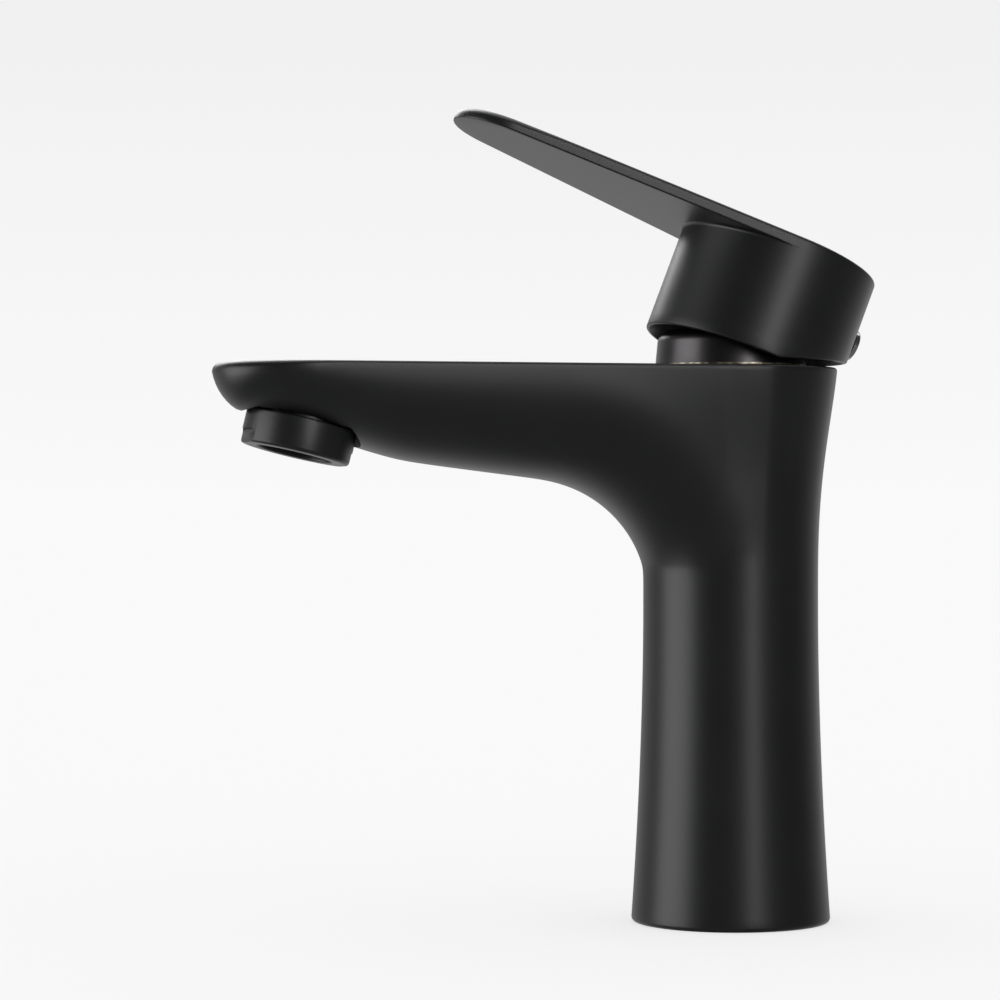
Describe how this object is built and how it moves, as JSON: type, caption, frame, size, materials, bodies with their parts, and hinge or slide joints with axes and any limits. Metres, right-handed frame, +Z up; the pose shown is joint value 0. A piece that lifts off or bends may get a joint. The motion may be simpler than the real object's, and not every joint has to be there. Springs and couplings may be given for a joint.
{
  "type": "bathroom mixer faucet",
  "caption": "Deck-mounted single-lever basin mixer: waisted round column, flat-topped spout with a tilted aerator, ceramic-disc cartridge and a flat lever blade on a round cap.",
  "frame": {"origin": "centre of the base, on the deck's top face", "axes": "+Z up along the column, the spout and the lever blade point along -X, the faucet is symmetric about the XZ plane"},
  "size_m": [0.17, 0.0532, 0.2629],
  "materials": {
    "satin_black": "satin black coat",
    "black_nickel": "polished dark nickel",
    "bright_nickel": "polished",
    "brass": "machined",
    "copper": "drawn tube",
    "steel": "machined",
    "rubber": "moulded",
    "white_plastic": "moulded acetal",
    "grey_plastic": "moulded",
    "ceramic": "lapped"
  },
  "bodies": {
    "body": {"faucet_body": "satin_black", "mounting_insert": "brass", "hot_inlet_tube": "copper", "cold_inlet_tube": "copper", "base_seal": "rubber", "mounting_stud": "steel", "deck_gasket": "rubber", "deck_washer": "steel", "stud_nut": "brass", "aerator_housing": "satin_black", "aerator_insert": "grey_plastic", "aerator_gasket": "rubber", "cartridge_base": "white_plastic", "hot_port_seal": "rubber", "cold_port_seal": "rubber", "outlet_port_seal": "rubber", "fixed_ceramic_disc": "ceramic", "cartridge_housing": "white_plastic", "cartridge_nut": "brass", "dome_seal": "rubber", "cover_dome": "black_nickel"},
    "rotor": {"cartridge_rotor": "grey_plastic", "pivot_pin": "steel"},
    "lever": {"lever_handle": "satin_black", "lever_stem": "steel", "grub_screw": "steel", "screw_cover": "bright_nickel"},
    "disc": {"moving_ceramic_disc": "ceramic", "disc_carrier": "grey_plastic"}
  },
  "joints": [
    {"name": "lever_turn", "type": "hinge", "parent": "body", "child": "rotor", "pos_m": [0, 0, 0.134], "axis": [0, 0, 1], "range_deg": [-45, 45]},
    {"name": "lever_lift", "type": "hinge", "parent": "rotor", "child": "lever", "pos_m": [0, 0, 0.134], "axis": [0, 1, 0], "range_deg": [-21.5, 0]},
    {"name": "disc_slide", "type": "slide", "parent": "rotor", "child": "disc", "axis": [1, 0, 0], "range_m": [0, 0.0035]}
  ],
  "couplings": [
    {"joint": "disc_slide", "follows": "lever_lift", "m_per_rad": -0.0085}
  ]
}
